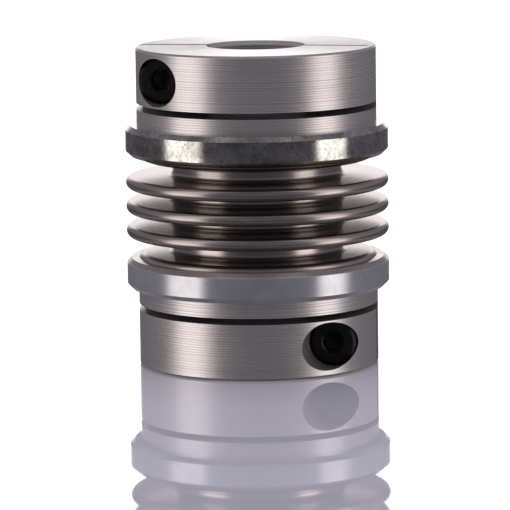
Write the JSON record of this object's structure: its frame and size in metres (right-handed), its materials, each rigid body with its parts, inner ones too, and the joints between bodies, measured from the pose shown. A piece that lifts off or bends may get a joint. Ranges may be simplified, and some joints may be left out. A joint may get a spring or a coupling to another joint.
{
  "type": "bellows coupling",
  "caption": "Metal bellows shaft coupling with two slit clamp hubs, pressed steel rings and socket head clamp screws.",
  "frame": {"origin": "on the shaft axis, at mid-length", "axes": "+Z along the shaft axis, +Y away from the clamp screws' heads, so -Y is the front; the upper screw is on the -X side"},
  "size_m": [0.0412, 0.0412, 0.05],
  "materials": {
    "hub_aluminium": "fine turned",
    "ring_steel": "turned, slightly stained",
    "bellows_steel": "satin, drawn stainless sheet",
    "screw_black": "black oxide"
  },
  "bodies": {
    "lower_half": {"lower_hub": "hub_aluminium", "lower_clamp_ring": "ring_steel"},
    "bellows_outer": {"bellows_outer_ply": "bellows_steel"},
    "bellows_inner": {"bellows_inner_ply": "bellows_steel"},
    "upper_half": {"upper_hub": "hub_aluminium", "upper_clamp_ring": "ring_steel"},
    "upper_screw": {"upper_clamp_screw": "screw_black"},
    "lower_screw": {"lower_clamp_screw": "screw_black"}
  },
  "joints": [
    {"name": "lower_bend", "type": "hinge", "parent": "lower_half", "child": "bellows_outer", "pos_m": [0, 0, -0.006], "axis": [1, 0, 0], "range_deg": [-0.75, 0.75], "stiffness_Nm_per_rad": 12},
    {"name": "bellows_stretch", "type": "slide", "parent": "bellows_outer", "child": "bellows_inner", "axis": [0, 0, 1], "range_m": [-0.0005, 0.0005], "stiffness_N_per_m": 40000, "deforming": ["bellows_outer_ply", "bellows_inner_ply"]},
    {"name": "upper_bend", "type": "hinge", "parent": "bellows_inner", "child": "upper_half", "pos_m": [0, 0, 0.006], "axis": [1, 0, 0], "range_deg": [-0.75, 0.75], "stiffness_Nm_per_rad": 12},
    {"name": "upper_screw_turn", "type": "hinge", "parent": "upper_half", "child": "upper_screw", "pos_m": [-0.0133, -0.0053, 0.0203], "axis": [0, -1, 0], "range_deg": [0, 540]},
    {"name": "lower_screw_turn", "type": "hinge", "parent": "lower_half", "child": "lower_screw", "pos_m": [0.0133, -0.0053, -0.0203], "axis": [0, -1, 0], "range_deg": [0, 540]}
  ]
}
